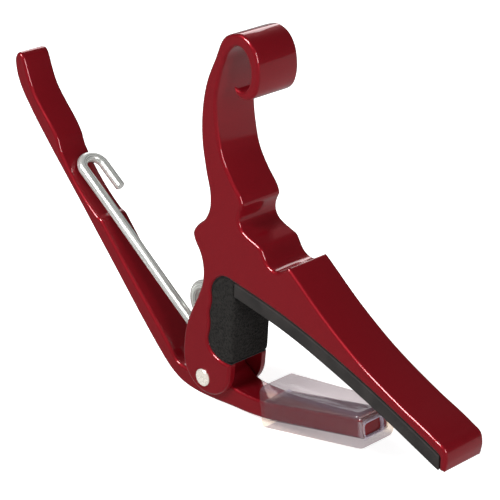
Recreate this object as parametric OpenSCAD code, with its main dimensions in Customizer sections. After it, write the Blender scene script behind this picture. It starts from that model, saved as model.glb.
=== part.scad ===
// Spring-clamp guitar capo: an aluminium body and a lever, both cut from extrusions, on one rivet.
// Row frame: X along the table towards the tip of the fretting bar, Y along the rivet, Z up.
// The lever's heel and the lower corner of the jaw sleeve stand on Z = 0.

/* [Body] */
// Width of the upper body along the rivet
body_w = 12.4; // [11.8:0.1:13]
// Wall of each pivot ear
ear_wall = 1.85; // [1.6:0.05:1.9]
// Radius of the round end of the ears
ear_r = 7.85; // [7.7:0.05:7.9]

/* [Lever] */
// Clearance on each side between the lever and the ears
side_gap = 0.15; // [0.1:0.05:0.2]
// Radius of the lever's boss around the rivet
boss_r = 4.5; // [4.2:0.1:4.8]

/* [Rivet] */
// Shank radius
rivet_r = 1.5; // [1.4:0.05:1.5]
// Radius of both heads
head_r = 2.15; // [1.9:0.05:2.3]
// Height of both heads above the ears
head_t = 0.6; // [0.4:0.05:0.8]
// Radial running clearance in the lever
running_gap = 0.05; // [0.02:0.01:0.1]

/* [Spring] */
// Wire diameter
wire_d = 2.5; // [2.3:0.05:2.5]
// Mean radius of the coil
coil_r = 5.2; // [5:0.1:5.3]

/* [Soft parts] */
// Thickness of the fret pad
pad_t = 3.5; // [2.8:0.1:3.6]
// Thickness of the adhesive films
tape_t = 0.15; // [0.1:0.05:0.2]
// Side wall of the jaw sleeve
sleeve_wall = 1.6; // [1.2:0.1:1.7]

/* [Hidden] */
$fn = 64;
red = [0.48, 0.05, 0.09];
slot_w = body_w - 2 * ear_wall;
lever_w = slot_w - 2 * side_gap;
pivot = [-2.2, 6.2];
ear_c = [-1.3, 10.1];
slot_top = 27.7;
wire_r = wire_d / 2;
coil_c = [-7.4, 20.9];
spring_y0 = -2.2;
spring_y1 = 3.0;
spring_top = 26.3;
hook_pt = [-43.0, 39.0];
hook_y = -1.65;
hook_end = 7.8;
hook_r = 3.1;
hook_back = 7.6;
pad_x0 = 7.8;

// Key points of the outlines, as [x, z] in millimetres.
back_pts = [[8.6, 93.2], [4.0, 91.5], [0.8, 85.6], [-1.9, 79.4], [-3.3, 71.5], [-3.2, 65.4],
            [-1.9, 58.6], [-0.5, 52.9], [-0.6, 50.0], [-2.1, 46.7], [-4.8, 44.2], [-6.0, 42.1],
            [-5.3, 40.1], [-3.7, 37.8], [-2.7, 34.5], [-2.8, 30.9], [-4.1, 27.2], [-6.4, 22.5],
            [-8.5, 16.9], [-9.15, 11.9]];
recess_pts = [[6.8, 12.6], [3.8, 12.6], [1.4, 13.4], [-0.5, 15.2], [-0.9, 16.9], [-0.4, 18.9],
              [-0.2, 21.3], [-0.5, 23.4], [0, 25.4], [0.35, 27.3], [0.05, 29.5], [0.7, 31.6],
              [2.0, 33.2], [4.2, 34.3], [7.7, 34.0]];
seat_pts = [[7.7, 34.0], [25.6, 30.6], [44.1, 25.1], [61.8, 18.6], [70.4, 15.1]];
bar_pts = [[72.4, 14.2], [71.7, 17.1], [69.2, 18.4], [59.0, 22.5], [47.1, 28.05], [34.9, 35.7],
           [26.8, 41.9], [24.8, 43.4]];
scallop_pts = [[24.8, 43.4], [23.0, 41.9], [21.4, 41.1], [19.6, 41.2], [17.9, 42.2], [16.8, 43.8],
               [15.9, 45.2], [14.0, 45.95], [11.5, 46.8], [9.8, 47.8], [8.95, 49.4], [9.15, 51.3],
               [10.2, 53.5]];
grip_pts = [[10.2, 53.5], [9.5, 55.0], [6.3, 58.9], [3.6, 63.1], [2.25, 67.8], [1.5, 72.5],
            [1.4, 76.2], [2.1, 80.2], [3.2, 84.0], [5.2, 88.3], [7.2, 90.0], [9.1, 90.0],
            [10.6, 88.9], [11.8, 86.6], [12.0, 84.2], [11.4, 81.8], [10.0, 80.4], [8.4, 80.3],
            [7.6, 80.7]];
curl_pts = [[7.2, 80.0], [7.7, 79.0], [9.3, 78.4], [11.6, 78.8], [13.5, 80.3], [14.5, 82.9],
            [14.6, 86.1], [13.7, 89.6], [11.9, 91.9], [8.6, 93.2]];
lever_out_pts = [[-72.4, 66.8], [-71.8, 63.2], [-70.1, 59.6], [-67.2, 55.8], [-60.1, 47.9],
                 [-50.1, 37.6], [-36.7, 23.6], [-23.3, 9.6], [-19.6, 6.0], [-16.0, 2.95],
                 [-12.2, 0.95], [-8.6, 0.2], [-5.6, 0], [-1.6, 0.1], [5.0, 0.6], [11.5, 1.0],
                 [17.0, 1.75]];
lever_in_pts = [[-10.9, 5.0], [-13.2, 5.5], [-15.7, 8.1], [-19.2, 11.8], [-22.8, 15.4],
                [-35.4, 28.1], [-40.7, 33.8]];
pocket_pts = [[-42.2, 34.1], [-46.7, 37.5], [-51.5, 42.1], [-55.6, 47.2]];
lever_top_pts = [[-56.6, 50.0], [-58.6, 52.7], [-62.6, 56.8], [-65.8, 60.6], [-67.6, 64.3],
                 [-68.6, 67.0], [-69.3, 68.3], [-70.4, 68.9], [-71.7, 68.4]];
jaw_top_pts = [[15.9, 5.95], [13.0, 5.75], [9.5, 5.6], [6.8, 5.75], [4.6, 6.5], [3.1, 7.8]];
jaw_end = [[46.6, 8.6], [47.0, 9.3], [46.3, 12.9], [45.6, 13.4]];
foam_face = [[7.9, 31.0], [7.6, 22.0], [7.2, 13.4]];
sleeve_pts = [[17.2, 0], [48.1, 6.8], [46.8, 15.3], [15.9, 10.4]];

// Smooth open curve through points p: cubic spans whose slopes come from the chords on each side.
function chord(p, i) = p[i + 1] - p[i];
function mid_slope(p, i) =
    let (a = norm(chord(p, i - 1)), b = norm(chord(p, i)))
    (chord(p, i - 1) * b / a + chord(p, i) * a / b) / (a + b);
function slope(p, i) =
    i == 0 ? 1.5 * chord(p, 0) / norm(chord(p, 0)) - 0.5 * mid_slope(p, 1)
  : i == len(p) - 1 ? 1.5 * chord(p, i - 1) / norm(chord(p, i - 1)) - 0.5 * mid_slope(p, i - 1)
  : mid_slope(p, i);
function span(p, i, t) =
    let (h = norm(chord(p, i)))
    (1 + 2 * t) * (1 - t) * (1 - t) * p[i] + t * (1 - t) * (1 - t) * h * slope(p, i)
    + t * t * (3 - 2 * t) * p[i + 1] - t * t * (1 - t) * h * slope(p, i + 1);
function curve(p, step = 1.2) = [
    for (i = [0 : len(p) - 2])
        let (n = ceil(norm(chord(p, i)) / step))
        for (k = [0 : n - (i == len(p) - 2 ? 0 : 1)]) span(p, i, k / n)];

// Round stretch about c from angle a0 to a1.
function arc(c, r, a0, a1, n) = [for (k = [0 : n]) c + r * [cos(a0 + (a1 - a0) * k / n),
                                                            sin(a0 + (a1 - a0) * k / n)]];

// A copy of open line q moved sideways by d, to the left of its direction.
function side(q, i) =
    let (v = q[min(i + 1, len(q) - 1)] - q[max(i - 1, 0)]) [-v[1], v[0]] / norm(v);
function moved(q, d) = [for (i = [0 : len(q) - 1]) q[i] + d * side(q, i)];
function turned_back(q) = [for (i = [len(q) - 1 : -1 : 0]) q[i]];

// An outline in X and Z, extruded along Y about the middle plane.
module slab(outline, w, y = 0) {
    translate([0, y + w / 2, 0])
        rotate([90, 0, 0])
            linear_extrude(height = w)
                polygon(outline);
}

// A cylinder along the rivet, from y0 to y1.
module along_rivet(r, y0, y1, c = pivot) {
    translate([c[0], y1, c[1]])
        rotate([90, 0, 0])
            cylinder(r = r, h = y1 - y0);
}

module upper_body() {
    lip = [[70.4, 11.6], [71.9, 11.6]];
    color(red)
        difference() {
            slab(concat(curve(back_pts), arc(ear_c, ear_r, 180, 360, 30), curve(recess_pts),
                        curve(seat_pts), lip, curve(bar_pts), curve(scallop_pts), curve(grip_pts),
                        curve(curl_pts)), body_w);
            translate([-16, -slot_w / 2, -1])
                cube([26, slot_w, slot_top + 1]);
            along_rivet(rivet_r, -body_w, body_w);
        }
}

module lever() {
    boss = arc(pivot, boss_r, 25, 200, 28);
    color(red)
        difference() {
            slab(concat(curve(lever_out_pts), jaw_end, curve(jaw_top_pts), boss,
                        curve(lever_in_pts), curve(pocket_pts), curve(lever_top_pts)), lever_w);
            along_rivet(rivet_r + running_gap, -body_w, body_w);
        }
}

// Flat head with a chamfered rim, standing on the ear at y = 0 and rising along +Y.
module rivet_head() {
    rotate([-90, 0, 0])
        rotate_extrude()
            polygon([[0, 0], [head_r, 0], [head_r, head_t * 0.4], [head_r * 0.78, head_t], [0, head_t]]);
}

module pivot_rivet_tube() {
    color("lightgray")
        difference() {
            union() {
                along_rivet(rivet_r, -body_w / 2, body_w / 2);
                translate([pivot[0], -body_w / 2, pivot[1]])
                    mirror([0, 1, 0])
                        rivet_head();
            }
            along_rivet(rivet_r * 0.6, -body_w / 2 + 1.5, body_w);
        }
}

module pivot_rivet_plug() {
    color("lightgray") {
        along_rivet(rivet_r * 0.6, -body_w / 2 + 2, body_w / 2);
        translate([pivot[0], body_w / 2, pivot[1]])
            rivet_head();
    }
}

// Centre line of the wire, from the cut end of the hook to the straight tail behind the coil.
to_coil = coil_c - hook_pt;
leg_a = atan2(to_coil[1], to_coil[0]) - asin(coil_r / norm(to_coil));
leg_d = [cos(leg_a), sin(leg_a)];
bend = hook_pt - hook_end * leg_d;
turn0 = leg_a - 90;
turn1 = 360;
function at(p, y) = [p[0], y, p[1]];
hook_line = concat(
    [at(bend + hook_back * leg_d, hook_y + 2 * hook_r)],
    [for (a = [0 : 12 : 180]) at(bend - hook_r * sin(a) * leg_d, hook_y + hook_r * (1 + cos(a)))]);
coil_line = [for (k = [0 : 48]) let (f = k / 48, a = turn0 + f * (turn1 - turn0))
    at(coil_c + coil_r * [cos(a), sin(a)], spring_y0 + f * (spring_y1 - spring_y0))];
tail_line = [at([coil_c[0] + coil_r, spring_top], spring_y1)];
wire_line = concat(hook_line, coil_line, tail_line);

// Round wire along q: one ring of points per path point, carried along without twisting.
function unit(v) = v / norm(v);
function ahead(q, i) = unit(q[min(i + 1, len(q) - 1)] - q[max(i - 1, 0)]);
function square_to(n, t) = unit(n - (n * t) * t);
module wire(q, r, sides = 12) {
    last = len(q) - 1;
    across = [for (i = 0, n = square_to([0, 0, 1], ahead(q, 0)); i <= last;
                   n = square_to(n, ahead(q, min(i + 1, last))), i = i + 1) n];
    rings = [for (i = [0 : last]) for (k = [0 : sides - 1])
        let (a = 360 * k / sides, n = across[i], b = cross(ahead(q, i), n))
        q[i] + r * (cos(a) * n + sin(a) * b)];
    walls = [for (i = [0 : last - 1]) for (k = [0 : sides - 1])
        let (j = (k + 1) % sides)
        [i * sides + k, (i + 1) * sides + k, (i + 1) * sides + j, i * sides + j]];
    first_cap = [for (k = [0 : sides - 1]) k];
    last_cap = [for (k = [sides - 1 : -1 : 0]) last * sides + k];
    polyhedron(rings, concat(walls, [first_cap, last_cap]));
}

module torsion_spring() {
    color("silver")
        wire(wire_line, wire_r);
}

seat_line = curve(seat_pts);

module fret_pad() {
    top = moved(seat_line, -tape_t);
    end_face = [[70.3, 14.95], [70.3, 11.5]];
    color([0.17, 0.16, 0.15])
        intersection() {
            slab(concat(top, end_face, turned_back(moved(seat_line, -pad_t))), body_w);
            translate([pad_x0, -body_w, 0])
                cube([80, 2 * body_w, 50]);
        }
}

module fret_pad_tape() {
    color("dimgray")
        slab(concat(seat_line, turned_back(moved(seat_line, -tape_t))), body_w - 1);
}

module foam_pad() {
    back_line = moved(curve(recess_pts), -tape_t);
    color([0.13, 0.13, 0.13])
        slab(concat(back_line, foam_face), body_w);
}

module foam_tape() {
    line = curve(recess_pts);
    color("dimgray")
        slab(concat(line, turned_back(moved(line, -tape_t))), body_w - 1);
}

module jaw_sleeve() {
    color([0.8, 0.78, 0.85, 0.5])
        difference() {
            slab(sleeve_pts, lever_w + 2 * sleeve_wall);
            slab(concat([[10, 1.2]], [[17.0, 1.75]], jaw_end, [[15.9, 5.95]], [[10, 5.9]]), lever_w);
            translate([47, -1.2, 11])
                rotate([0, -10, 0])
                    cube([6, 5.6, 3.1], center = true);
        }
}

upper_body();
lever();
pivot_rivet_tube();
pivot_rivet_plug();
torsion_spring();
fret_pad();
fret_pad_tape();
foam_pad();
foam_tape();
jaw_sleeve();
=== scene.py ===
"""Looks of a spring-clamp guitar capo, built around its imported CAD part.

Sizes below are millimetres in the part's own frame: X along the table towards the tip of the
fretting bar, Y along the pivot rivet, Z up. They become metres where a mesh is made.
"""

import logging
import math
from dataclasses import dataclass
from enum import Enum
from typing import Any, Sequence

import bmesh
import bpy
import numpy as np
from bpy.types import Material, Mesh, Node, NodeSocket, NodeTree, Object, World
from mathutils import Matrix, Vector


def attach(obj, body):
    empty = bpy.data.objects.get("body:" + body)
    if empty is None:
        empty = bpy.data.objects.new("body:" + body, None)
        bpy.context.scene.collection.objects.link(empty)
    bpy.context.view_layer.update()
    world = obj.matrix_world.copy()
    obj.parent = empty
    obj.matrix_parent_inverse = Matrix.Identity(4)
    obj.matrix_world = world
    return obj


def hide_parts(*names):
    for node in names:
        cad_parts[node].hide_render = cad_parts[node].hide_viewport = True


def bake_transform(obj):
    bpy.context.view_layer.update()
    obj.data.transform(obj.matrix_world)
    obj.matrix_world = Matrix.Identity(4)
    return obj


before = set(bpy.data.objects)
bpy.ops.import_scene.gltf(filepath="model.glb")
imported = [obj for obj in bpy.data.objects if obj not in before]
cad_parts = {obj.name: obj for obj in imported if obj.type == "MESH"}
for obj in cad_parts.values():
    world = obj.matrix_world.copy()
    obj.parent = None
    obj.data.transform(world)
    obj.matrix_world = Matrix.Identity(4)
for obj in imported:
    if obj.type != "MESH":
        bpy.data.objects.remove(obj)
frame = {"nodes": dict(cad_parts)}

log = logging.getLogger("capo")
Pair = tuple[float, float]
Xyz = tuple[float, float, float]
Colour = tuple[float, float, float, float]
Points = Sequence[Pair]

# A millimetre in metres, and the spacing of the points of every outline.
MM = 0.001
STEP = 0.4
# The rivet's line as (x, z), and the width that the body, both pads and the rivet share.
PIVOT: Pair = (-2.2, 6.2)
BODY_WIDTH = 12.4
# In metres: points nearer than the first are merged, and edges shorter than the second go.
MERGE, SLIVER = 2e-6, 1e-6


class Rides(Enum):
    """The two bodies that the rivet joins."""

    BODY = "body"
    LEVER = "lever"


class Slot(Enum):
    """Names of the material slots."""

    BODY = "body_finish"
    LEVER = "lever_finish"
    RIVET = "rivet_nickel"
    WIRE = "spring_wire"
    PAD = "pad_rubber"
    FOAM = "foam"
    FILM = "film"
    VINYL = "sleeve_vinyl"


# ---------------------------------------------------------------- curves and outlines


def hermite(points: Points) -> np.ndarray:
    """Smooth open curve through key points.

    Each span is a cubic whose end slopes come from the chords on both sides, weighted by the
    other chord's length. The end slopes lean away from the first inner one by half.

    Args:
        points: Key points as (x, z).

    Returns:
        An array of (x, z) rows that starts and ends on the outer key points, with STEP at
        most between two rows.
    """
    p = np.array(points, float)
    chord = np.diff(p, axis=0)
    size = np.linalg.norm(chord, axis=1)[:, None]
    inner = chord[:-1] * size[1:] / size[:-1] + chord[1:] * size[:-1] / size[1:]
    inner /= size[:-1] + size[1:]
    first = 1.5 * chord[0] / size[0] - 0.5 * inner[0]
    last = 1.5 * chord[-1] / size[-1] - 0.5 * inner[-1]
    slope = np.vstack([first, inner, last])
    count = np.maximum(np.ceil(size[:, 0] / STEP).astype(int), 1)
    span = np.repeat(np.arange(len(count)), count)
    start = np.repeat(np.cumsum(count) - count, count)
    t = ((np.arange(count.sum()) - start) / count[span])[:, None]
    h = size[span]
    curve = (
        (1 + 2 * t) * (1 - t) ** 2 * p[span]
        + t * (1 - t) ** 2 * h * slope[span]
        + t**2 * (3 - 2 * t) * p[span + 1]
        - t**2 * (1 - t) * h * slope[span + 1]
    )
    return np.vstack([curve, p[-1:]])


def arc(centre: Pair, radius: float, a0: float, a1: float, n: int = 60) -> np.ndarray:
    """Points at equal angles from a0 to a1 degrees on a circle."""
    a = np.radians(np.linspace(a0, a1, n))
    return np.array(centre) + radius * np.stack([np.cos(a), np.sin(a)], 1)


def shifted(line: np.ndarray, distance: float) -> np.ndarray:
    """An open line moved to its left by distance, each point square to its two neighbours."""
    t = np.gradient(line, axis=0)
    t /= np.linalg.norm(t, axis=1)[:, None]
    return line + distance * np.stack([-t[:, 1], t[:, 0]], 1)


def closed_outline(parts: list[np.ndarray], soften: int) -> np.ndarray:
    """One closed outline from open runs, evenly spaced, with its corners eased.

    The runs are joined, then resampled at equal arc lengths of about STEP. Each easing pass
    replaces a point by a quarter of each neighbour and half of itself, which rounds a corner
    by about a step.

    Args:
        parts: Runs of (x, z) points in order round the outline.
        soften: Number of easing passes.

    Returns:
        An array of (x, z) rows, counter-clockwise, with no repeated end point.
    """
    p = np.vstack(parts)
    p = p[np.linalg.norm(p - np.roll(p, 1, 0), axis=1) > 1e-4]
    ring = np.vstack([p, p[:1]])
    s = np.concatenate([[0], np.cumsum(np.linalg.norm(np.diff(ring, axis=0), axis=1))])
    u = np.linspace(0, s[-1], int(s[-1] / STEP), endpoint=False)
    q = np.stack([np.interp(u, s, ring[:, k]) for k in (0, 1)], 1)
    for _ in range(soften):
        q = 0.25 * np.roll(q, 1, 0) + 0.5 * q + 0.25 * np.roll(q, -1, 0)
    area = np.sum(q[:, 0] * np.roll(q[:, 1], -1) - np.roll(q[:, 0], -1) * q[:, 1])
    return q if area > 0 else q[::-1]


def distance_to(outline: np.ndarray, points: np.ndarray) -> np.ndarray:
    """Distance of each point to the nearest stretch of a closed outline.

    All pairs are worked out at once: each point's foot on each stretch is kept between the
    stretch's two ends.

    Args:
        outline: Closed (x, z) outline.
        points: Points as (x, z) rows.

    Returns:
        One distance for each point.
    """
    a = outline
    v = np.roll(outline, -1, 0) - a
    w = points[:, None, :] - a[None]
    t = np.clip(np.einsum("ijk,jk->ij", w, v) / np.einsum("jk,jk->j", v, v), 0, 1)
    return np.linalg.norm(w - t[..., None] * v[None], axis=2).min(1)


def inset(outline: np.ndarray, d: float) -> np.ndarray:
    """A closed outline moved inwards by d, with as many points.

    Points move along the inward normal. Those that end up nearer than d to the outline lie
    past a corner's mitre: each such run is gathered at the point where its two ends' tangent
    lines cross, or half-way between the ends where those lines hardly cross.

    Args:
        outline: Closed (x, z) outline, counter-clockwise.
        d: Distance inwards.

    Returns:
        The moved outline.
    """
    near, parallel, spread, slack = 0.985, 0.15, 2, 0.3
    if d <= 0:
        return outline.copy()
    t = np.roll(outline, -1, 0) - np.roll(outline, 1, 0)
    t /= np.linalg.norm(t, axis=1)[:, None]
    q = outline + d * np.stack([-t[:, 1], t[:, 0]], 1)
    bad = distance_to(outline, q) < near * d
    if bad.all() or not bad.any():
        return q
    shift = int(np.flatnonzero(~bad)[0])
    q, t, bad = np.roll(q, -shift, 0), np.roll(t, -shift, 0), np.roll(bad, -shift)
    edge = np.diff(np.concatenate([[0], bad.astype(int), [0]]))
    for i0, i1 in zip(np.flatnonzero(edge == 1), np.flatnonzero(edge == -1)):
        a, b = i0 - 1, i1 % len(q)
        cross = t[a, 0] * t[b, 1] - t[a, 1] * t[b, 0]
        gap = q[b] - q[a]
        meet = 0.5 * (q[a] + q[b])
        if abs(cross) > parallel:
            x = q[a] + t[a] * (gap[0] * t[b, 1] - gap[1] * t[b, 0]) / cross
            if np.linalg.norm(x - meet) < spread * np.linalg.norm(gap) + slack * d:
                meet = x
        q[i0:i1] = meet
    return np.roll(q, shift, 0)


# ---------------------------------------------------------------- meshes


def grid_faces(rows: int, cols: int, wrap_rows: bool = False) -> np.ndarray:
    """Quads between neighbouring rings of a grid whose columns wrap round.

    Args:
        rows: Number of rings.
        cols: Points in each ring.
        wrap_rows: Whether the last ring joins the first.

    Returns:
        Four corner indices for each quad.
    """
    i = np.arange(rows if wrap_rows else rows - 1)[:, None]
    j = np.arange(cols)[None]
    i1, j1 = (i + 1) % rows, (j + 1) % cols
    return np.stack([i * cols + j, i1 * cols + j, i1 * cols + j1, i * cols + j1], -1).reshape(-1, 4)


def new_object(name: str, verts: np.ndarray, faces: list[list[int]]) -> Object:
    """A closed mesh object from points in millimetres, merged and with its faces outwards.

    Args:
        name: The piece's name.
        verts: Points as rows, in millimetres.
        faces: Corner indices of each face.

    Returns:
        The object, at the origin, with its place in its mesh.
    """
    mesh = bpy.data.meshes.new(name)
    mesh.from_pydata((verts * MM).tolist(), [], faces)
    bm = bmesh.new()
    bm.from_mesh(mesh)
    bmesh.ops.remove_doubles(bm, verts=bm.verts, dist=MERGE)
    bmesh.ops.dissolve_degenerate(bm, edges=bm.edges, dist=SLIVER)
    bmesh.ops.recalc_face_normals(bm, faces=bm.faces)
    bm.to_mesh(mesh)
    bm.free()
    obj = bpy.data.objects.new(name, mesh)
    bpy.context.scene.collection.objects.link(obj)
    return obj


def smooth(obj: Object, angle: float = 34.0) -> None:
    """Smooth shading, with edges sharper than angle degrees kept crisp."""
    mesh = obj.data
    mesh.shade_smooth()
    mesh.set_sharp_from_angle(angle=math.radians(angle))


def tube_mesh(rings: np.ndarray, wrap_rows: bool = False) -> tuple[np.ndarray, list[list[int]]]:
    """Skin over rings, capped at both ends unless the rows wrap.

    Args:
        rings: An array (rows, points, xyz).
        wrap_rows: Whether the last ring joins the first.

    Returns:
        The points as rows, and the corner indices of each face.
    """
    rows, cols = rings.shape[:2]
    faces = grid_faces(rows, cols, wrap_rows).tolist()
    if not wrap_rows:
        faces += [list(range(cols))[::-1], list(range((rows - 1) * cols, rows * cols))]
    return rings.reshape(-1, 3), faces


def slab(name: str, outline: np.ndarray, width: float, edge: float, steps: int = 6) -> Object:
    """An outline in X and Z carried along Y, with every edge rounded over.

    Ring k has the outline inset by edge * (1 - cos a) at the height width / 2 - edge +
    edge * sin a, as a goes from 0 to 90 degrees. One more ring, just inside the last, keeps
    the flat side's shading flat.

    Args:
        name: The piece's name.
        outline: Closed (x, z) outline.
        width: Size along Y.
        edge: Radius of the round-over.
        steps: Rings in each round-over.

    Returns:
        The object.
    """
    flat = 0.05
    a = np.linspace(0, math.pi / 2, steps + 1)
    depth = np.concatenate([edge * (1 - np.cos(a)), [edge + flat]])
    height = np.concatenate([width / 2 - edge + edge * np.sin(a), [width / 2]])
    half = [np.insert(inset(outline, d), 1, h, axis=1) for d, h in zip(depth, height)]
    mirrored = [r * [1, -1, 1] for r in half[::-1]]
    return new_object(name, *tube_mesh(np.array(mirrored + half)))


def lathe(name: str, profile: Points, centre: Pair, sides: int = 96) -> Object:
    """A closed profile of (radius, y) spun about the line along Y through centre.

    Each profile point becomes the ring centre + radius * (cos a, sin a).

    Args:
        name: The piece's name.
        profile: Points as (radius, y).
        centre: The axis as (x, z).
        sides: Points in each ring.

    Returns:
        The object.
    """
    p = np.array(profile, float)
    a = np.linspace(0, 2 * math.pi, sides, endpoint=False)
    rings = np.stack(
        [
            centre[0] + p[:, :1] * np.cos(a),
            np.repeat(p[:, 1:], sides, 1),
            centre[1] + p[:, :1] * np.sin(a),
        ],
        -1,
    )
    return new_object(name, *tube_mesh(rings))


def cut(obj: Object, cutters: list[Object]) -> None:
    """Takes each cutter's solid out of obj, and removes the cutters.

    Args:
        obj: The piece to cut.
        cutters: Closed objects, in the order of the cuts.
    """
    for cutter in cutters:
        mod = obj.modifiers.new("cut", "BOOLEAN")
        mod.operation, mod.solver, mod.object = "DIFFERENCE", "EXACT", cutter
        bpy.context.view_layer.update()
        whole = obj.evaluated_get(bpy.context.evaluated_depsgraph_get())
        result = bpy.data.meshes.new_from_object(whole)
        obj.modifiers.clear()
        old, obj.data = obj.data, result
        bpy.data.meshes.remove(old)
        result.name = obj.name
        bpy.data.objects.remove(cutter)


def block(low: Xyz, high: Xyz) -> Object:
    """A plain box between two corners, for cutting."""
    x0, y0, z0 = low
    x1, y1, z1 = high
    rings = [[[x0, y, z0], [x1, y, z0], [x1, y, z1], [x0, y, z1]] for y in (y0, y1)]
    return new_object("cutter", *tube_mesh(np.array(rings, float)))


def rod(centre: Pair, radius: float, y0: float, y1: float) -> Object:
    """A plain cylinder along Y, for cutting."""
    return lathe("cutter", [(radius, y0), (radius, y1)], centre)


# ---------------------------------------------------------------- finishes


def linear(code: str) -> Colour:
    """Linear colour of an sRGB hex code, by the standard's two-part curve."""
    c = np.array([int(code[i : i + 2], 16) for i in (1, 3, 5)]) / 255
    c = np.where(c <= 0.04045, c / 12.92, ((c + 0.055) / 1.055) ** 2.4)
    return (*c.tolist(), 1.0)


def add(
    tree: NodeTree, kind: str, settings: dict[str, Any] | None = None, **inputs: Any
) -> Node:
    """Adds a node with its settings and its inputs' values or links.

    Args:
        tree: The material's node tree.
        kind: The node's type name, without its ShaderNode.
        settings: Properties of the node itself.
        inputs: Socket names with spaces as underscores, each with a value or an output socket.

    Returns:
        The node.
    """
    node = tree.nodes.new(f"ShaderNode{kind}")
    for key, value in (settings or {}).items():
        setattr(node, key, value)
    for key, value in inputs.items():
        wanted = key.replace("_", " ")
        socket = next(s for s in node.inputs if s.name == wanted and s.enabled)
        if isinstance(value, NodeSocket):
            tree.links.new(value, socket)
        else:
            socket.default_value = value
    return node


def ramp(tree: NodeTree, factor: NodeSocket, stops: list[tuple[float, Colour]]) -> NodeSocket:
    """A colour ramp's output.

    Args:
        tree: The material's node tree.
        factor: The socket that picks the place on the ramp.
        stops: Stops of (position, linear colour), from low to high.

    Returns:
        The colour's socket.
    """
    node = add(tree, "ValToRGB", Fac=factor)
    line = node.color_ramp.elements
    for i, (place, colour) in enumerate(stops):
        stop = line[i] if i < 2 else line.new(place)
        stop.position, stop.color = place, colour
    return node.outputs["Color"]


def per(size: float) -> float:
    """The scale that gives a pattern features of size millimetres."""
    return 1 / (size * MM)


class Finish:
    """A finish: its name, and the surface that its nodes make."""

    name: str

    def surface(self, tree: NodeTree) -> NodeSocket:
        """Fills the node tree and returns the surface's socket."""
        raise NotImplementedError

    def make(self) -> Material:
        """Makes the material from its surface."""
        material = bpy.data.materials.new(self.name)
        material.use_nodes = True
        tree = material.node_tree
        tree.nodes.clear()
        surface = self.surface(tree)
        out = add(tree, "OutputMaterial")
        tree.links.new(surface, out.inputs["Surface"])
        return material


@dataclass(frozen=True)
class CandyPaint(Finish):
    """Candy enamel on extruded aluminium: a transparent red coat over metal, and a clear top.

    The half-metallic red keeps its depth, and the clear top gives sharp white lights. The
    flakes are drawn coarser than real ones, so that they show.
    """

    name: str = "burgundy_candy_enamel"
    colour: str = "#8A0E1B"
    shade: str = "#7A0B17"
    peel_mm: float = 0.9
    flake_mm: float = 0.12

    def surface(self, tree: NodeTree) -> NodeSocket:
        """Fills the node tree and returns the surface's socket."""
        place = add(tree, "TexCoord").outputs["Object"]
        peel = add(tree, "TexNoise", Vector=place, Scale=per(self.peel_mm), Detail=1.0)
        flake = add(tree, "TexNoise", Vector=place, Scale=per(self.flake_mm), Detail=2.0)
        colour = ramp(
            tree, flake.outputs["Fac"], [(0.3, linear(self.shade)), (0.7, linear(self.colour))]
        )
        bump = add(tree, "Bump", Strength=0.035, Distance=0.0001, Height=peel.outputs["Fac"])
        shader = add(
            tree,
            "BsdfPrincipled",
            Base_Color=colour,
            Metallic=0.5,
            Roughness=0.4,
            Specular_IOR_Level=0.15,
            Coat_Weight=1.0,
            Coat_Roughness=0.04,
            Coat_Normal=bump.outputs["Normal"],
        )
        return shader.outputs["BSDF"]


@dataclass(frozen=True)
class BrightNickel(Finish):
    """Nickel plate on a turned steel rivet: a warm bright metal with faint turning rings.

    A ring repeats every 2 pi times ring_mm, coarser than a tool's marks, so that it shows.
    """

    name: str = "bright_nickel_plate"
    colour: str = "#ECE6DB"
    ring_mm: float = 0.12
    cloud_mm: float = 0.8
    centre: Pair = PIVOT

    def surface(self, tree: NodeTree) -> NodeSocket:
        """Fills the node tree and returns the surface's socket."""
        place = add(tree, "TexCoord").outputs["Object"]
        centred = add(
            tree,
            "Mapping",
            Vector=place,
            Location=(-self.centre[0] * MM, 0, -self.centre[1] * MM),
        ).outputs["Vector"]
        rings = add(
            tree,
            "TexWave",
            {"wave_type": "RINGS", "rings_direction": "Y"},
            Vector=centred,
            Scale=per(20 * self.ring_mm),
            Distortion=0.4,
        )
        cloud = add(tree, "TexNoise", Vector=place, Scale=per(self.cloud_mm), Detail=3.0)
        rough = add(
            tree,
            "MapRange",
            Value=cloud.outputs["Fac"],
            To_Min=0.16,
            To_Max=0.34,
        )
        bump = add(tree, "Bump", Strength=0.12, Distance=0.00002, Height=rings.outputs["Fac"])
        shader = add(
            tree,
            "BsdfPrincipled",
            Base_Color=linear(self.colour),
            Metallic=0.45,
            Roughness=rough.outputs["Result"],
            Normal=bump.outputs["Normal"],
        )
        return shader.outputs["BSDF"]


@dataclass(frozen=True)
class SpringSteel(Finish):
    """Zinc-bright drawn spring wire: a cool light metal with fine die lines along it."""

    name: str = "drawn_spring_wire"
    colour: str = "#EDEEEA"
    shade: str = "#C4C7C2"
    lines_per_metre: float = 60.0
    lines_round: float = 26.0

    def surface(self, tree: NodeTree) -> NodeSocket:
        """Fills the node tree and returns the surface's socket.

        The wire's map has its length in metres in u and its turn in v.
        """
        along = add(tree, "UVMap", {"uv_map": "wire"}).outputs["UV"]
        drawn = add(
            tree, "Mapping", Vector=along, Scale=(self.lines_per_metre, self.lines_round, 1.0)
        ).outputs["Vector"]
        lines = add(tree, "TexNoise", Vector=drawn, Scale=1.0, Detail=3.0)
        tint = ramp(
            tree, lines.outputs["Fac"], [(0.35, linear(self.shade)), (0.62, linear(self.colour))]
        )
        rough = add(tree, "MapRange", Value=lines.outputs["Fac"], To_Min=0.2, To_Max=0.36)
        bump = add(tree, "Bump", Strength=0.1, Distance=0.00002, Height=lines.outputs["Fac"])
        shader = add(
            tree,
            "BsdfPrincipled",
            Base_Color=tint,
            Metallic=0.6,
            Roughness=rough.outputs["Result"],
            Normal=bump.outputs["Normal"],
        )
        return shader.outputs["BSDF"]


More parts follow.
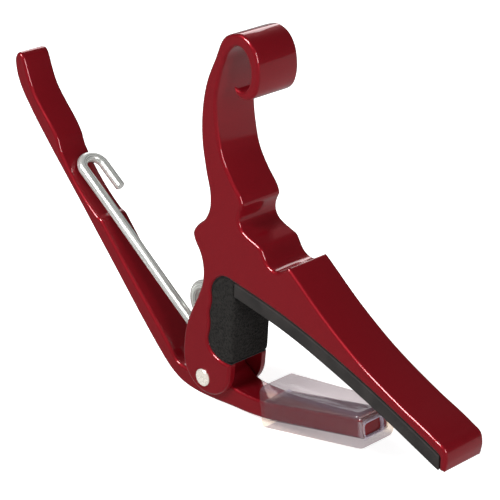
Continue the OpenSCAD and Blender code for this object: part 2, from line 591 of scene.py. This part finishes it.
@dataclass(frozen=True)
class PadRubber(Finish):
    """Die-cut neoprene sheet: dull charcoal with a fine cut grain and a little dust."""

    name: str = "neoprene_rubber"
    colour: str = "#1E1B1A"
    pale: str = "#2C2826"
    grain_mm: float = 0.35
    cloud_mm: float = 6.0

    def surface(self, tree: NodeTree) -> NodeSocket:
        """Fills the node tree and returns the surface's socket."""
        place = add(tree, "TexCoord").outputs["Object"]
        grain = add(tree, "TexNoise", Vector=place, Scale=per(self.grain_mm), Detail=4.0)
        cloud = add(tree, "TexNoise", Vector=place, Scale=per(self.cloud_mm), Detail=3.0)
        colour = ramp(
            tree, cloud.outputs["Fac"], [(0.35, linear(self.colour)), (0.7, linear(self.pale))]
        )
        bump = add(tree, "Bump", Strength=0.35, Distance=0.0001, Height=grain.outputs["Fac"])
        shader = add(
            tree,
            "BsdfPrincipled",
            Base_Color=colour,
            Roughness=0.72,
            Specular_IOR_Level=0.4,
            Normal=bump.outputs["Normal"],
        )
        return shader.outputs["BSDF"]


@dataclass(frozen=True)
class CellFoam(Finish):
    """Black open-cell foam, cut from a block: every face shows its small broken cells, with painted
    shade in their pits.
    """

    name: str = "open_cell_foam"
    wall: str = "#1F1D1B"
    pit_shade: str = "#040403"
    cell_mm: float = 0.55
    fine_mm: float = 0.25

    def surface(self, tree: NodeTree) -> NodeSocket:
        """Fills the node tree and returns the surface's socket."""
        place = add(tree, "TexCoord").outputs["Object"]
        cells = add(tree, "TexVoronoi", Vector=place, Scale=per(self.cell_mm))
        fine = add(tree, "TexNoise", Vector=place, Scale=per(self.fine_mm), Detail=3.0)
        height = add(tree, "Math", {"operation": "MULTIPLY_ADD"})
        tree.links.new(fine.outputs["Fac"], height.inputs[0])
        height.inputs[1].default_value = 0.5
        tree.links.new(cells.outputs["Distance"], height.inputs[2])
        # Painted shade: the cells' hollows are drawn near-black, as if shade lay in them.
        colour = ramp(
            tree, height.outputs["Value"], [(0.35, linear(self.pit_shade)), (0.8, linear(self.wall))]
        )
        bump = add(tree, "Bump", Strength=0.9, Distance=0.0003, Height=height.outputs["Value"])
        shader = add(
            tree,
            "BsdfPrincipled",
            Base_Color=colour,
            Roughness=0.85,
            Specular_IOR_Level=0.25,
            Normal=bump.outputs["Normal"],
        )
        return shader.outputs["BSDF"]


@dataclass(frozen=True)
class Film(Finish):
    """Double-sided adhesive film: thin grey plastic whose roughness varies in soft clouds."""

    name: str = "adhesive_film"
    colour: str = "#2A2A2A"
    cloud_mm: float = 2.0

    def surface(self, tree: NodeTree) -> NodeSocket:
        """Fills the node tree and returns the surface's socket."""
        place = add(tree, "TexCoord").outputs["Object"]
        cloud = add(tree, "TexNoise", Vector=place, Scale=per(self.cloud_mm), Detail=2.0)
        rough = add(tree, "MapRange", Value=cloud.outputs["Fac"], To_Min=0.35, To_Max=0.55)
        shader = add(
            tree,
            "BsdfPrincipled",
            Base_Color=linear(self.colour),
            Roughness=rough.outputs["Result"],
        )
        return shader.outputs["BSDF"]


@dataclass(frozen=True)
class SoftVinyl(Finish):
    """Dip-moulded clear vinyl: the red jaw shows through a lavender haze with long lights.

    The haze is stronger on top, where the wall over the jaw is thickest, and on the window's
    rim, which the rim attribute marks: there the extra haze is a painted light edge.
    """

    name: str = "clear_soft_vinyl"
    colour: str = "#C9BFD0"
    shade: str = "#B3A8BE"
    cast: str = "#F3ECE4"
    cast_top: str = "#C8C3CB"
    clear_side: float = 0.965
    clear_top: float = 0.88
    clear_light_edge: float = 0.45
    shine: float = 0.04
    cloud_mm: float = 5.0
    ripple_mm: float = 2.2
    ripple_stretch: Xyz = (0.12, 1.0, 0.5)

    def surface(self, tree: NodeTree) -> NodeSocket:
        """Fills the node tree and returns the surface's socket."""
        place = add(tree, "TexCoord").outputs["Object"]
        cloud = add(tree, "TexNoise", Vector=place, Scale=per(self.cloud_mm), Detail=3.0)
        tint = ramp(
            tree, cloud.outputs["Fac"], [(0.3, linear(self.shade)), (0.7, linear(self.colour))]
        )
        haze = add(tree, "BsdfPrincipled", Base_Color=tint, Roughness=0.35, IOR=1.5)
        facing = add(tree, "NewGeometry").outputs["Normal"]
        up = add(tree, "SeparateXYZ", Vector=facing).outputs["Z"]
        cast = ramp(tree, up, [(0.3, linear(self.cast)), (0.9, linear(self.cast_top))])
        through = add(tree, "BsdfTransparent", Color=cast)
        # Painted highlight: the rim attribute makes the window's lip hazier and paler, a light edge
        # round it.
        rim = add(tree, "Attribute", {"attribute_name": "rim"}).outputs["Fac"]
        side_clear = add(
            tree, "MapRange", Value=rim, To_Min=self.clear_side, To_Max=self.clear_light_edge
        ).outputs["Result"]
        clear = add(
            tree,
            "MapRange",
            Value=up,
            From_Min=0.3,
            From_Max=0.9,
            To_Min=side_clear,
            To_Max=self.clear_top,
        )
        wall = add(tree, "MixShader", Fac=clear.outputs["Result"])
        tree.links.new(haze.outputs["BSDF"], wall.inputs[1])
        tree.links.new(through.outputs["BSDF"], wall.inputs[2])
        drawn = add(tree, "Mapping", Vector=place, Scale=self.ripple_stretch).outputs["Vector"]
        ripple = add(tree, "TexNoise", Vector=drawn, Scale=per(self.ripple_mm), Detail=1.0)
        bump = add(tree, "Bump", Strength=0.5, Distance=0.0004, Height=ripple.outputs["Fac"])
        normal = bump.outputs["Normal"]
        gloss = add(tree, "BsdfGlossy", Color=linear("#FFFFFF"), Roughness=0.14, Normal=normal)
        mixed = add(tree, "MixShader", Fac=self.shine)
        tree.links.new(wall.outputs["Shader"], mixed.inputs[1])
        tree.links.new(gloss.outputs["BSDF"], mixed.inputs[2])
        return mixed.outputs["Shader"]


@dataclass(frozen=True)
class PaleFloor(Finish):
    """White studio paper lit from below: nearly shadowless, a little darker where covered."""

    name: str = "white_paper"
    colour: str = "#F7F7F7"
    glow: float = 0.78

    def surface(self, tree: NodeTree) -> NodeSocket:
        """Fills the node tree and returns the surface's socket."""
        shader = add(
            tree,
            "BsdfPrincipled",
            Base_Color=linear(self.colour),
            Roughness=0.95,
            Specular_IOR_Level=0.1,
            Emission_Color=linear("#FFFFFF"),
            Emission_Strength=self.glow,
        )
        return shader.outputs["BSDF"]


# ---------------------------------------------------------------- the pieces


def finish_piece(obj: Object, material: Material, ride: Rides, node: str) -> Object:
    """Gives a piece its material and body, and hides the CAD node that it stands for.

    Args:
        obj: The piece.
        material: Its finish.
        ride: The body that it moves with.
        node: The CAD node that it replaces.

    Returns:
        The piece.
    """
    obj.data.materials.clear()
    obj.data.materials.append(material)
    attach(obj, ride.value)
    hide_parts(node)
    log.info("%s: %d faces, rides on %s", obj.name, len(obj.data.polygons), ride.value)
    return obj


@dataclass
class Camera:
    """The viewer's place, in millimetres, with a long lens."""

    place: Xyz = (314.1, -304.6, 232.6)
    aim: Xyz = (6.64, 0.0, 39.95)
    roll: float = 0.84
    lens: float = 149.9
    sensor: float = 36.0

    def build(self) -> Object:
        """Makes the camera, looking from place to aim and turned by roll degrees about that line.

        Returns:
            The camera, set as the scene's own.
        """
        data = bpy.data.cameras.new("camera")
        data.lens, data.sensor_width = self.lens, self.sensor
        data.clip_start, data.clip_end = 0.01, 20.0
        cam = bpy.data.objects.new("camera", data)
        bpy.context.scene.collection.objects.link(cam)
        forward = Vector(self.aim) - Vector(self.place)
        roll = Matrix.Rotation(math.radians(self.roll), 3, "Z")
        turn = forward.to_track_quat("-Z", "Y").to_matrix() @ roll
        cam.matrix_world = Matrix.Translation(Vector(self.place) * MM) @ turn.to_4x4()
        bpy.context.scene.camera = cam
        return cam


@dataclass
class Lamp:
    """A soft box: its place and aim in millimetres, its two sides and its power in watts."""

    name: str
    place: Xyz
    aim: Xyz
    sides: Pair
    watts: float

    def build(self) -> None:
        """Hangs the soft box with its face towards aim."""
        data = bpy.data.lights.new(self.name, "AREA")
        data.shape, data.size, data.size_y = "RECTANGLE", self.sides[0] * MM, self.sides[1] * MM
        data.energy = self.watts
        obj = bpy.data.objects.new(self.name, data)
        bpy.context.scene.collection.objects.link(obj)
        way = Vector(self.aim) - Vector(self.place)
        turn = way.to_track_quat("-Z", "Y").to_matrix().to_4x4()
        obj.matrix_world = Matrix.Translation(Vector(self.place) * MM) @ turn


@dataclass
class Studio:
    """White paper, a dark room round it and soft boxes."""

    floor_side: float = 6000.0
    surround: float = 0.05
    table_front: float = 0.12
    table_back: float = 0.36
    lamps: tuple[Lamp, ...] = (
        Lamp("key_box", (-150, -760, 820), (0, 0, 40), (420, 420), 13.0),
        Lamp("left_box", (-720, 660, 620), (0, 0, 60), (520, 520), 3.0),
        Lamp("right_box", (900, -260, 420), (0, 0, 50), (240, 500), 5.0),
    )

    def build(self) -> None:
        """Lays the paper, dims the room and hangs the soft boxes.

        The paper is hidden from mirror reflections, which keeps the enamel dark over it.
        """
        half = self.floor_side / 2
        corners = np.array([[-1, -1, 0], [1, -1, 0], [1, 1, 0], [-1, 1, 0]]) * half
        mesh = bpy.data.meshes.new("paper")
        mesh.from_pydata((corners * MM).tolist(), [], [[0, 1, 2, 3]])
        paper = bpy.data.objects.new("paper", mesh)
        bpy.context.scene.collection.objects.link(paper)
        mesh.materials.append(PaleFloor().make())
        paper.visible_glossy = False
        bpy.context.scene.world = self.room()
        bpy.context.scene.view_settings.view_transform = "Standard"
        for lamp in self.lamps:
            lamp.build()

    def room(self) -> World:
        """The room as the gloss sees it: dark above the table's edge, pale below and behind."""
        world = bpy.data.worlds.new("room")
        world.use_nodes = True
        tree = world.node_tree
        tree.nodes.clear()
        way = add(tree, "TexCoord").outputs["Generated"]
        parts = add(tree, "SeparateXYZ", Vector=way)
        table = add(
            tree,
            "MapRange",
            Value=parts.outputs["Y"],
            From_Min=-0.3,
            From_Max=0.3,
            To_Min=self.table_front,
            To_Max=self.table_back,
        )
        strength = add(
            tree,
            "MapRange",
            Value=parts.outputs["Z"],
            From_Min=-0.03,
            From_Max=0.0,
            To_Min=table.outputs["Result"],
            To_Max=self.surround,
        )
        sky = add(tree, "Background", Color=linear("#FFFFFF"), Strength=strength.outputs["Result"])
        out = add(tree, "OutputWorld")
        tree.links.new(sky.outputs["Background"], out.inputs["Surface"])
        return world


@dataclass
class UpperBody:
    """The extruded body: curled grip, finger rests, fretting bar and the two pivot ears."""

    width: float = BODY_WIDTH
    edge: float = 0.8
    slot_half: float = 4.35
    slot_top: float = 27.7
    pivot: Pair = PIVOT
    hole: float = 1.5
    fork_x: Pair = (-16.0, 10.0)
    fork_low: float = -1.0
    ear_centre: Pair = (-1.3, 10.1)
    ear_radius: float = 7.85
    back: Points = (
        (8.6, 93.2), (4.0, 91.5), (0.8, 85.6), (-1.9, 79.4), (-3.3, 71.5), (-3.2, 65.4),
        (-1.9, 58.6), (-0.5, 52.9), (-0.6, 50.0), (-2.1, 46.7), (-4.8, 44.2), (-6.0, 42.1),
        (-5.3, 40.1), (-3.7, 37.8), (-2.7, 34.5), (-2.8, 30.9), (-4.1, 27.2), (-6.4, 22.5),
        (-8.5, 16.9), (-9.15, 11.9),
    )
    recess: Points = (
        (6.8, 12.6), (3.8, 12.6), (1.4, 13.4), (-0.5, 15.2), (-0.9, 16.9), (-0.4, 18.9),
        (-0.2, 21.3), (-0.5, 23.4), (0, 25.4), (0.35, 27.3), (0.05, 29.5), (0.7, 31.6),
        (2.0, 33.2), (4.2, 34.3), (7.7, 34.0),
    )
    seat: Points = (
        (7.7, 34.0), (25.6, 30.6), (44.1, 25.1), (61.8, 18.6), (70.4, 15.1),
    )
    lip: Points = ((70.4, 11.6), (71.9, 11.6))
    bar: Points = (
        (72.4, 14.2), (71.7, 17.1), (69.2, 18.4), (59.0, 22.5), (47.1, 28.05), (34.9, 35.7),
        (26.8, 41.9), (24.8, 43.4),
    )
    scallops: Points = (
        (24.8, 43.4), (23.0, 41.9), (21.4, 41.1), (19.6, 41.2), (17.9, 42.2), (16.8, 43.8),
        (15.9, 45.2), (14.0, 45.95), (11.5, 46.8), (9.8, 47.8), (8.95, 49.4), (9.15, 51.3),
        (10.2, 53.5),
    )
    grip: Points = (
        (10.2, 53.5), (9.5, 55.0), (6.3, 58.9), (3.6, 63.1), (2.25, 67.8), (1.5, 72.5),
        (1.4, 76.2), (2.1, 80.2), (3.2, 84.0), (5.2, 88.3), (7.2, 90.0), (9.1, 90.0),
        (10.6, 88.9), (11.8, 86.6), (12.0, 84.2), (11.4, 81.8), (10.0, 80.4), (8.4, 80.3),
        (7.6, 80.7),
    )
    curl: Points = (
        (7.2, 80.0), (7.7, 79.0), (9.3, 78.4), (11.6, 78.8), (13.5, 80.3), (14.5, 82.9),
        (14.6, 86.1), (13.7, 89.6), (11.9, 91.9), (8.6, 93.2),
    )

    def outline(self) -> np.ndarray:
        """The whole outline, run by run, from the curl down the back and round."""
        return closed_outline(
            [
                hermite(self.back),
                arc(self.ear_centre, self.ear_radius, 180, 360),
                hermite(self.recess),
                hermite(self.seat),
                np.array(self.lip),
                hermite(self.bar),
                hermite(self.scallops),
                hermite(self.grip),
                hermite(self.curl),
            ],
            soften=2,
        )

    def build(self, paint: Material) -> Object:
        """Makes the body, cuts the fork and the rivet's hole, and paints it."""
        body = slab("grip_and_bar", self.outline(), self.width, self.edge)
        x0, x1 = self.fork_x
        fork = block((x0, -self.slot_half, self.fork_low), (x1, self.slot_half, self.slot_top))
        cut(body, [fork, rod(self.pivot, self.hole, -self.width, self.width)])
        smooth(body)
        return finish_piece(body, paint, Rides.BODY, "upper_body")


@dataclass
class BentLever:
    """The lever: flared grip, round heel, boss on the rivet, and the jaw's tongue."""

    width: float = 8.4
    edge: float = 0.8
    pivot: Pair = PIVOT
    boss: float = 4.5
    boss_arc: Pair = (25.0, 200.0)
    bore: float = 1.55
    outer: Points = (
        (-72.4, 66.8), (-71.8, 63.2), (-70.1, 59.6), (-67.2, 55.8), (-60.1, 47.9),
        (-50.1, 37.6), (-36.7, 23.6), (-23.3, 9.6), (-19.6, 6.0), (-16.0, 2.95), (-12.2, 0.95),
        (-8.6, 0.2), (-5.6, 0), (-1.6, 0.1), (5.0, 0.6), (11.5, 1.0), (17.0, 1.75),
    )
    inner: Points = (
        (-10.9, 5.0), (-13.2, 5.5), (-15.7, 8.1), (-19.2, 11.8), (-22.8, 15.4), (-35.4, 28.1),
        (-40.7, 33.8),
    )
    pocket: Points = (
        (-42.2, 34.1), (-46.7, 37.5), (-51.5, 42.1), (-55.6, 47.2),
    )
    top: Points = (
        (-56.6, 50.0), (-58.6, 52.7), (-62.6, 56.8), (-65.8, 60.6), (-67.6, 64.3),
        (-68.6, 67.0), (-69.3, 68.3), (-70.4, 68.9), (-71.7, 68.4),
    )
    jaw_top: Points = (
        (15.9, 5.95), (13.0, 5.75), (9.5, 5.6), (6.8, 5.75), (4.6, 6.5), (3.1, 7.8),
    )
    jaw_end: Points = ((46.6, 8.6), (47.0, 9.3), (46.3, 12.9), (45.6, 13.4))

    def outline(self) -> np.ndarray:
        """The whole outline, from the flared top down the outside, along the jaw and back."""
        return closed_outline(
            [
                hermite(self.outer),
                np.array(self.jaw_end),
                hermite(self.jaw_top),
                arc(self.pivot, self.boss, *self.boss_arc),
                hermite(self.inner),
                hermite(self.pocket),
                hermite(self.top),
            ],
            soften=3,
        )

    def build(self, paint: Material) -> Object:
        """Makes the lever and bores it for the rivet."""
        lever = slab("bent_lever", self.outline(), self.width, self.edge)
        cut(lever, [rod(self.pivot, self.bore, -self.width, self.width)])
        smooth(lever)
        return finish_piece(lever, paint, Rides.LEVER, "lever")


@dataclass
class Rivet:
    """The two-piece rivet: a tube from the front and a plug pressed in from the back.

    tip is the radius at which a profile stops short of the axis, and the plug's gap.
    """

    pivot: Pair = PIVOT
    shank: float = 1.5
    core: float = 0.9
    head: float = 2.15
    head_height: float = 0.6
    half: float = BODY_WIDTH / 2
    tip: float = 0.02
    tube_floor: float = -4.5
    plug_floor: float = -4.0
    tube_short: float = 0.1

    def head_profile(self) -> Points:
        """Half section of a head from its rim to its middle, with a chamfer and a shallow dish."""
        r, h = self.head, self.head_height
        return [
            (r, 0.0), (r, h * 0.38), (r * 0.97, h * 0.5), (r * 0.8, h * 0.94), (r * 0.76, h),
            (r * 0.45, h * 0.99), (r * 0.4, h * 0.9), (r * 0.2, h * 0.84), (self.tip, h * 0.82),
        ]

    def build(self, nickel: Material) -> None:
        """Makes the tube, whose profile closes on itself, and the plug."""
        face, plug_radius, far = self.half, self.core - self.tip, self.half - self.tube_short
        front = [(r, -face - y) for r, y in self.head_profile()]
        tube = [(self.core, far), (self.shank, far), (self.shank, -face), *front]
        tube += [(self.tip, self.tube_floor), (self.core, self.tube_floor)]
        back = [(r, face + y) for r, y in self.head_profile()]
        plug = [(self.tip, self.plug_floor), (plug_radius, self.plug_floor), (plug_radius, face)]
        for name, profile, node in (
            ("rivet_tube", tube + tube[:1], "pivot_rivet_tube"),
            ("rivet_plug", plug + back, "pivot_rivet_plug"),
        ):
            obj = lathe(name, profile, self.pivot)
            smooth(obj, 25)
            finish_piece(obj, nickel, Rides.BODY, node)


@dataclass
class Spring:
    """The torsion spring: hook on the lever, long leg, coil and a straight tail in the body."""

    radius: float = 1.25
    coil_radius: float = 5.2
    coil: Pair = (-7.4, 20.9)
    y_start: float = -2.2
    y_end: float = 3.0
    top: float = 26.3
    hook: Pair = (-43.0, 39.0)
    hook_y: float = -1.65
    hook_end: float = 7.8
    hook_radius: float = 3.1
    hook_back: float = 7.6
    chamfer: float = 0.3
    sides: int = 28
    bend_from: Xyz = (-8.0, 0.0, 17.0)
    bend_to: Xyz = (-28.0, 0.0, 29.0)

    def line(self) -> tuple[np.ndarray, np.ndarray]:
        """The wire's centre line and, at each point, a normal in the X-Z plane.

        The hook is a half circle that stands across the long leg. The coil is a helix whose
        angle and y grow evenly, and the tail leaves it straight up. A normal is Y crossed with
        the wire's direction, and stays that of the long leg all round the hook.

        Returns:
            Points and unit normals, as two arrays of (x, y, z) rows.
        """
        coil, hook = np.array(self.coil), np.array(self.hook)
        to_coil = coil - hook
        a = math.atan2(to_coil[1], to_coil[0])
        a -= math.asin(self.coil_radius / np.linalg.norm(to_coil))
        d = np.array([math.cos(a), math.sin(a)])
        bend = hook - self.hook_end * d
        back = np.linspace(self.hook_back, 0.0, 14)[:-1, None]
        short = self.lift(bend + back * d, self.hook_y + 2 * self.hook_radius)
        t = np.linspace(0, math.pi, 26)[:, None]
        across = self.hook_y + self.hook_radius * (1 + np.cos(t))
        u_bend = self.lift(bend - self.hook_radius * np.sin(t) * d, across)
        turn = np.linspace(a - math.pi / 2, 2 * math.pi, 120)[:, None]
        rise = np.linspace(self.y_start, self.y_end, 120)[:, None]
        wound = self.lift(coil + self.coil_radius * np.hstack([np.cos(turn), np.sin(turn)]), rise)
        ease = np.linspace(0, 1, 60)[1:-1, None]
        leg = u_bend[-1] + ease * (wound[0] - u_bend[-1])
        leg[:, 1:2] = self.hook_y + (self.y_start - self.hook_y) * ease**2 * (3 - 2 * ease)
        tail = wound[-1] + np.linspace(0, 1, 14)[1:, None] * [0, 0, self.top - coil[1]]
        flat = np.vstack([short, u_bend, leg])
        points = np.vstack([flat, wound, tail])
        tangent = np.gradient(points, axis=0)
        normal = np.stack([tangent[:, 2], np.zeros(len(points)), -tangent[:, 0]], 1)
        normal[: len(flat)] = [d[1], 0, -d[0]]
        return points, normal / np.linalg.norm(normal, axis=1)[:, None]

    @staticmethod
    def lift(line: np.ndarray, y: float | np.ndarray) -> np.ndarray:
        """A flat line of (x, z) rows placed at y."""
        return np.insert(line, 1, np.broadcast_to(np.ravel(y), len(line)), axis=1)

    def build(self, steel: Material) -> Object:
        """Sweeps the round section along the line, with both cut ends chamfered.

        A ring is point + radius * (cos a * normal + sin a * side), where side is the wire's
        direction crossed with the normal.
        """
        p, n = self.line()
        t = np.gradient(p, axis=0)
        t /= np.linalg.norm(t, axis=1)[:, None]
        n = n - np.sum(n * t, 1)[:, None] * t
        n /= np.linalg.norm(n, axis=1)[:, None]
        c = self.chamfer
        p = np.vstack([p[:1], p[:1] + c * t[:1], p[1:-1], p[-1:] - c * t[-1:], p[-1:]])
        n = np.vstack([n[:1], n[:1], n[1:-1], n[-1:], n[-1:]])
        t = np.vstack([t[:1], t[:1], t[1:-1], t[-1:], t[-1:]])
        r = np.full(len(p), self.radius)
        r[[0, -1]] -= c
        side = np.cross(t, n)
        a = np.linspace(0, 2 * math.pi, self.sides, endpoint=False)[None, :, None]
        rings = p[:, None] + r[:, None, None] * (np.cos(a) * n[:, None] + np.sin(a) * side[:, None])
        obj = new_object("torsion_spring_wire", *tube_mesh(rings))
        self.map_wire(obj.data, p)
        smooth(obj, 40)
        obj.data.materials.clear()
        obj.data.materials.append(steel)
        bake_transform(obj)
        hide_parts("torsion_spring")
        log.info("%s: %d faces, bends from body to lever", obj.name, len(obj.data.polygons))
        return obj

    def map_wire(self, mesh: Mesh, line: np.ndarray) -> None:
        """Writes the wire's map: u is the distance along it in metres, v the turn round it.

        On a face that spans the join between the last side and the first, the first side's v
        is 1 in place of 0.
        """
        layer = mesh.uv_layers.new(name="wire")
        index = np.zeros(len(mesh.loops), np.int32)
        mesh.loops.foreach_get("vertex_index", index)
        first = np.zeros(len(mesh.polygons), np.int32)
        size = np.zeros(len(mesh.polygons), np.int32)
        mesh.polygons.foreach_get("loop_start", first)
        mesh.polygons.foreach_get("loop_total", size)
        run = np.concatenate([[0], np.cumsum(np.linalg.norm(np.diff(line, axis=0), axis=1))]) * MM
        v = index % self.sides / self.sides
        join = np.repeat((np.maximum.reduceat(v, first) > 0.9) & (size == 4), size)
        v = np.where(join & (v == 0), 1.0, v)
        uv = np.stack([run[index // self.sides], v], 1).astype(np.float32)
        layer.data.foreach_set("uv", uv.ravel())


@dataclass
class SoftPads:
    """The arched fret pad and the foam block that guards the neck, each on its film.

    The films are the CAD's own, so each pad keeps their thickness clear of the body.
    """

    seat: np.ndarray
    recess: np.ndarray
    width: float = BODY_WIDTH
    film: float = 0.15
    pad: float = 3.5
    pad_start: float = 7.8
    pad_lead: float = 0.3
    pad_rise: float = 0.1
    pad_edge: float = 0.35
    foam_edge: float = 1.0
    foam_reach: float = 7.3
    pad_end: Points = ((70.3, 14.95), (70.3, 11.5))
    foam_face: Points = ((7.85, 33.6), (7.6, 22.0), (7.2, 13.1))

    def build(self, rubber: Material, foam: Material) -> None:
        """Makes both pads with rounded cut edges."""
        top = shifted(self.seat, -self.film)
        under = shifted(self.seat, -self.pad)[::-1]
        under = under[under[:, 0] > self.pad_start + self.pad_lead]
        top = top[top[:, 0] > self.pad_start]
        heights = (under[-1, 1] + self.pad_rise, top[0, 1])
        start = np.array([[self.pad_start, z] for z in heights])
        line = closed_outline([top, np.array(self.pad_end), under, start], soften=1)
        pad = slab("arched_fret_pad", line, self.width, self.pad_edge, steps=4)
        smooth(pad)
        finish_piece(pad, rubber, Rides.BODY, "fret_pad")
        back = shifted(self.recess, -self.film)
        back = back[back[:, 0] < self.foam_reach]
        line = closed_outline([back, hermite(self.foam_face)], soften=5)
        pad = slab("neck_foam_block", line, self.width, self.foam_edge)
        smooth(pad, 60)
        finish_piece(pad, foam, Rides.BODY, "foam_pad")


@dataclass
class JawSleeve:
    """The soft sleeve on the jaw: a rounded box, closed at its far end but for a small window."""

    mouth_low: Pair = (17.2, 0.0)
    mouth_high: Pair = (15.9, 10.4)
    end_low: Pair = (48.1, 6.8)
    end_high: Pair = (46.8, 15.3)
    half_width: float = 5.8
    corner: float = 1.6
    jaw_start: Pair = (16.45, 3.9)
    jaw_stop: Pair = (46.1, 11.0)
    jaw_half: Pair = (4.24, 2.5)
    wall_end: float = 0.8
    window: Pair = (2.8, 1.55)
    window_side: float = -1.2
    lip: float = 0.35
    roll: float = 1.3
    rim: float = 0.25
    rim_reach: float = 0.45
    rim_depth: float = 0.9
    shelf: float = 1.9
    frame: float = 0.6
    flare: float = 0.2
    inner_corner: float = 0.8
    window_corners: tuple[float, ...] = (1.2, 1.0, 1.0, 0.9)

    def sections(self, length: float, h0: float, h1: float) -> np.ndarray:
        """Each ring's place and sizes: the mouth, the outside, the window, and back inside.

        Args:
            length: Distance from the mouth to the far end.
            h0: Half height at the mouth.
            h1: Half height at the far end.

        Returns:
            Rows of distance from the mouth, half width, half height, corner radius, share of
            the window's sideways offset, and 1 where the ring follows the jaw or else 0.
        """
        w, lip, roll, rim, corner = self.half_width, self.lip, self.roll, self.rim, self.corner
        ww, wh = self.window
        jw, jh = self.jaw_half
        shelf, edge, inner = self.shelf, self.frame, self.inner_corner
        c0, c1, c2, c3 = self.window_corners
        a, b = np.linspace(math.pi / 2, 0, 5), np.linspace(0, math.pi / 2, 7)
        lip_in, roll_in = lip * (1 - np.cos(a)), roll * (1 - np.cos(b))
        out, back = np.linspace(0.04, 0.93, 14), np.linspace(0.93, 0.02, 12)
        wall = length - self.wall_end
        runs = [
            (lip * (1 - np.sin(a)), w - lip_in, h0 - lip_in, corner, 0, 0),
            (out * length, w, h0 + (h1 - h0) * out, corner, 0, 0),
            (length - roll + roll * np.sin(b), w - roll_in, h1 - roll_in, corner, 0, 0),
            (length, w - shelf, h1 - shelf, c0, 0.2, 0),
            (length, ww + edge, wh + edge, c1, 1, 0),
            (length, ww + rim, wh + rim, c2, 1, 0),
            (length - rim * 0.3, ww + rim * 0.3, wh + rim * 0.3, c3, 1, 0),
            (length - rim, ww, wh, inner, 1, 0),
            (wall, ww, wh, inner, 1, 0),
            (wall, jw, jh, inner, 0, 1),
            (back * length, jw, jh, inner, 0, 1),
            (0.0, jw + self.flare, jh + self.flare, c3, 0, 1),
        ]
        return np.vstack([np.column_stack(np.broadcast_arrays(*run)) for run in runs])

    def rings(self) -> np.ndarray:
        """Rings of the skin.

        A ring is a rounded rectangle: sign * (half size - corner) + corner * (cos a, sin a),
        laid on the sleeve's slanting cross direction. The far end rolls over on a quarter
        circle.

        Returns:
            An array (rows, points, xyz) whose last row joins its first.
        """
        low0, high0 = np.array(self.mouth_low), np.array(self.mouth_high)
        low1, high1 = np.array(self.end_low), np.array(self.end_high)
        mid0, mid1 = (low0 + high0) / 2, (low1 + high1) / 2
        up0, up1 = high0 - low0, high1 - low1
        tall0, tall1 = np.linalg.norm(up0), np.linalg.norm(up1)
        length = np.linalg.norm(mid1 - mid0)
        axis = (mid1 - mid0) / length
        s, hw, hh, rc, aside, inner = self.sections(length, tall0 / 2, tall1 / 2).T
        along = mid0 + s[:, None] * axis
        share = (s / length)[:, None]
        jaw0, jaw1 = np.array(self.jaw_start), np.array(self.jaw_stop)
        jaw_share = (along - jaw0) @ axis / np.linalg.norm(jaw1 - jaw0)
        mid = np.where(inner[:, None] == 1, jaw0 + (jaw1 - jaw0) * jaw_share[:, None], along)
        up = (1 - share) * up0 / tall0 + share * up1 / tall1
        up /= np.linalg.norm(up, axis=1)[:, None]
        rc = np.minimum(rc, np.minimum(hw, hh) * 0.98)[:, None]
        quarter, part = np.divmod(np.arange(40), 10)
        angle = np.radians(quarter * 90 + part * 10)
        middle = np.radians(quarter * 90 + 45)
        side, top = np.sign(np.cos(middle)), np.sign(np.sin(middle))
        y = (aside * self.window_side)[:, None] + side * (hw[:, None] - rc) + rc * np.cos(angle)
        rise = top * (hh[:, None] - rc) + rc * np.sin(angle)
        return np.stack([mid[:, :1] + rise * up[:, :1], y, mid[:, 1:] + rise * up[:, 1:]], -1)

    def build(self, vinyl: Material) -> Object:
        """Makes the sleeve as one closed skin."""
        obj = new_object("vinyl_jaw_sleeve", *tube_mesh(self.rings(), wrap_rows=True))
        self.mark_light_edge(obj.data)
        smooth(obj, 40)
        return finish_piece(obj, vinyl, Rides.LEVER, "jaw_sleeve")

    def mark_light_edge(self, mesh: Mesh) -> None:
        """Writes the rim attribute, where a light edge is painted: 1 on the lip round the window, 0
        everywhere else.
        """
        co = np.zeros(len(mesh.vertices) * 3)
        mesh.vertices.foreach_get("co", co)
        co = co.reshape(-1, 3) / MM
        high, low = np.array(self.end_high), np.array(self.end_low)
        middle, up = (high + low) / 2, (high - low) / np.linalg.norm(high - low)
        aside = np.abs(co[:, 1] - self.window_side) - self.window[0]
        flat = co[:, [0, 2]] - middle
        above = np.abs(flat @ up) - self.window[1]
        depth = np.abs(flat @ [up[1], -up[0]])
        lip = (np.maximum(aside, above) < self.rim_reach) & (depth < self.rim_depth)
        rim = mesh.attributes.new("rim", "FLOAT", "POINT")
        rim.data.foreach_set("value", lip.astype(np.float32))


def dress_cad(name: str, material: Material) -> None:
    """Gives a CAD node that stays in view its own material."""
    obj = frame["nodes"][name]
    obj.data.materials.clear()
    obj.data.materials.append(material)
    log.info("%s: CAD node, dressed in %s", name, material.name)


def main() -> None:
    """Builds the camera, the studio and every piece of the capo in order."""
    logging.basicConfig(level=logging.INFO, format="%(name)s: %(message)s")
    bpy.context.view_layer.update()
    Camera().build()
    Studio().build()
    paint = CandyPaint().make()
    body = UpperBody()
    body.build(paint)
    BentLever().build(paint)
    Rivet().build(BrightNickel().make())
    Spring().build(SpringSteel().make())
    SoftPads(hermite(body.seat), hermite(body.recess)).build(PadRubber().make(), CellFoam().make())
    film = Film().make()
    dress_cad("fret_pad_tape", film)
    dress_cad("foam_tape", film)
    JawSleeve().build(SoftVinyl().make())


if __name__ == "__main__":
    main()
